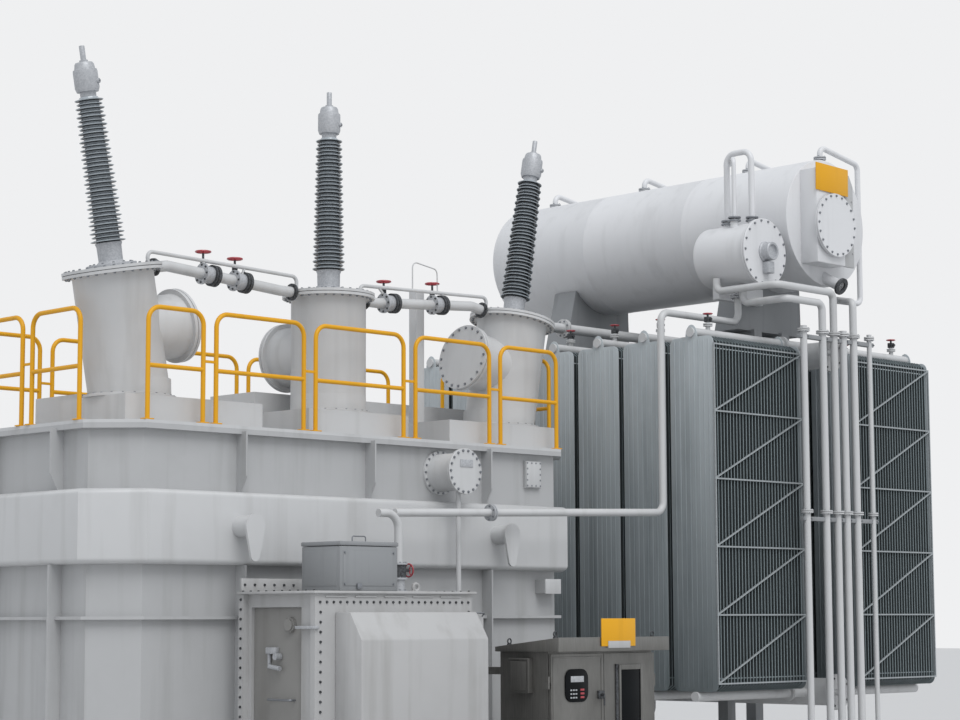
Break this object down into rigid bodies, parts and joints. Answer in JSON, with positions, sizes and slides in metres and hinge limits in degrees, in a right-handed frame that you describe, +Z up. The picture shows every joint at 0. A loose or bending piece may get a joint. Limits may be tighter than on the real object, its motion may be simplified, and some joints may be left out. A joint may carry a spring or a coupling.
{
  "type": "power transformer",
  "caption": "Grey oil-filled power transformer with leaning ribbed bushings, yellow handrails, a finned radiator bank, round oil conservators, a cable box and a steel kiosk with two doors.",
  "frame": {"origin": "On the ground, under the middle of the transformer tank.", "axes": "+X along the tank towards the radiator bank, +Y to the side away from the cable box and kiosk, +Z up."},
  "size_m": [9.622, 4.88, 6.2741],
  "materials": {
    "grey_paint": "satin pale grey paint",
    "dark_grey_paint": "satin mid grey paint",
    "radiator_paint": "satin blue-grey paint",
    "porcelain": "glossy blue-grey insulator; glazed porcelain",
    "yellow_paint": "gloss safety yellow paint",
    "brushed_steel": "dull brushed stainless steel",
    "galvanised_bars": "dull galvanised steel"
  },
  "bodies": {
    "transformer": {"bank_frame": "dark_grey_paint", "brace_back_a": "galvanised_bars", "brace_back_b": "galvanised_bars", "brace_front_a": "galvanised_bars", "brace_front_b": "galvanised_bars", "bushing_a": "porcelain", "bushing_b": "porcelain", "bushing_c": "porcelain", "cable_box": "grey_paint", "cable_hood": "grey_paint", "cable_post": "grey_paint", "cable_roof": "grey_paint", "conservator": "grey_paint", "feed_pipe": "grey_paint", "front_drum": "grey_paint", "handrail_back": "yellow_paint", "handrail_front": "yellow_paint", "handrail_left": "yellow_paint", "handrail_right": "yellow_paint", "kiosk_case": "brushed_steel", "kiosk_roof": "brushed_steel", "manifold_bottom": "grey_paint", "manifold_top": "grey_paint", "oil_pipe_bottom": "grey_paint", "oil_pipe_top": "grey_paint", "radiator_a1": "radiator_paint", "radiator_a2": "radiator_paint", "radiator_a3": "radiator_paint", "radiator_a4": "radiator_paint", "radiator_a5": "radiator_paint", "radiator_a6": "radiator_paint", "radiator_a7": "radiator_paint", "radiator_b1": "radiator_paint", "radiator_b2": "radiator_paint", "radiator_b3": "radiator_paint", "radiator_b4": "radiator_paint", "radiator_b5": "radiator_paint", "radiator_b6": "radiator_paint", "radiator_b7": "radiator_paint", "riser_pipes": "grey_paint", "skid_frame": "dark_grey_paint", "small_conservator": "grey_paint", "tank_body": "grey_paint", "tank_cover": "grey_paint", "tank_girdle": "grey_paint", "terminal_box": "dark_grey_paint", "turret_a": "grey_paint", "turret_b": "grey_paint", "turret_c": "grey_paint", "vent_pipe_ab": "grey_paint", "vent_pipe_bc": "grey_paint"},
    "door_left": {"kiosk_door_left": "brushed_steel"},
    "door_right": {"kiosk_door_right": "brushed_steel"}
  },
  "joints": [
    {"name": "door_left_hinge", "type": "hinge", "parent": "transformer", "child": "door_left", "pos_m": [0.65, -2.537, 0.73], "axis": [0, 0, -1], "range_deg": [0, 110]},
    {"name": "door_right_hinge", "type": "hinge", "parent": "transformer", "child": "door_right", "pos_m": [1.942, -2.537, 0.73], "axis": [0, 0, 1], "range_deg": [0, 110]}
  ]
}
